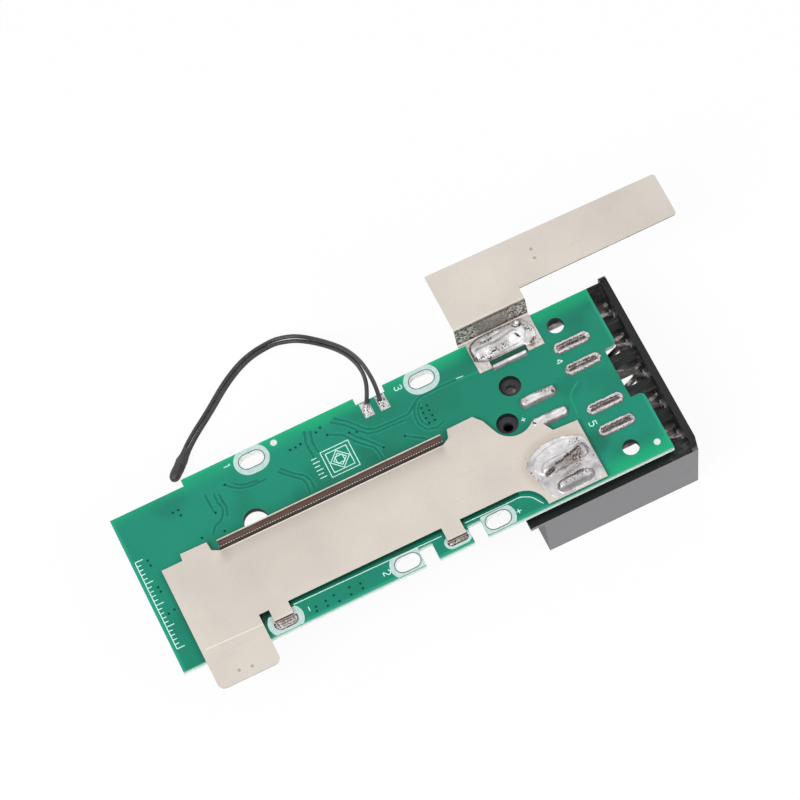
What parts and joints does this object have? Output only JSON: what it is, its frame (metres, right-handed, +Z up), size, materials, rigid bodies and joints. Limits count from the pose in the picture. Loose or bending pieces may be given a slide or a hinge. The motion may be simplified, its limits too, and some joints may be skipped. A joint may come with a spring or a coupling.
{
  "type": "battery management board",
  "caption": "Green circuit board for a cell pack, with nickel strips, a black terminal block of spring contacts underneath and a two-wire thermistor lead.",
  "frame": {"origin": "middle of the terminal block's foot, on the surface it stands on", "axes": "X along the board towards the end with the terminal block, Y across the board towards the edge with the thermistor pads, Z up out of the face with the strips"},
  "size_m": [0.131, 0.0753, 0.0228],
  "materials": {
    "solder_mask": "glossy green solder mask",
    "tinned_copper": "tinned pads",
    "nickel_strip": "plain nickel sheet",
    "black_plastic": "moulded, slightly glossy",
    "contact_metal": "dark plated spring sheet",
    "solder": "bright solder",
    "wire_cover": "matte black",
    "bead_resin": "dipped black resin",
    "chip_body": "moulded epoxy",
    "component_leads": "tinned leads",
    "shunt_metal": "resistance alloy",
    "resistor_body": "black film on ceramic",
    "capacitor_body": "tan ceramic"
  },
  "bodies": {
    "root": {"circuit_board": "solder_mask", "plated_slots": "tinned_copper", "terminal_block": "black_plastic", "block_ribs": "black_plastic", "contact_1": "contact_metal", "contact_2": "contact_metal", "contact_3": "contact_metal", "contact_4": "contact_metal", "contact_5": "contact_metal", "negative_strip": "nickel_strip", "positive_strap": "nickel_strip", "leg_solder": "solder", "positive_solder": "solder", "negative_solder": "solder", "tab_solder": "solder", "thermistor_pads": "tinned_copper", "thermistor_solder": "solder", "thermistor_lead_left": "wire_cover", "thermistor_lead_right": "wire_cover", "thermistor_bead": "bead_resin", "mosfet_bodies": "chip_body", "mosfet_terminals": "component_leads", "shunt_resistor": "shunt_metal", "controller_chip": "chip_body", "controller_pins": "component_leads", "chip_resistors": "resistor_body", "chip_capacitors": "capacitor_body", "transistors": "chip_body", "transistor_legs": "component_leads"}
  },
  "joints": []
}
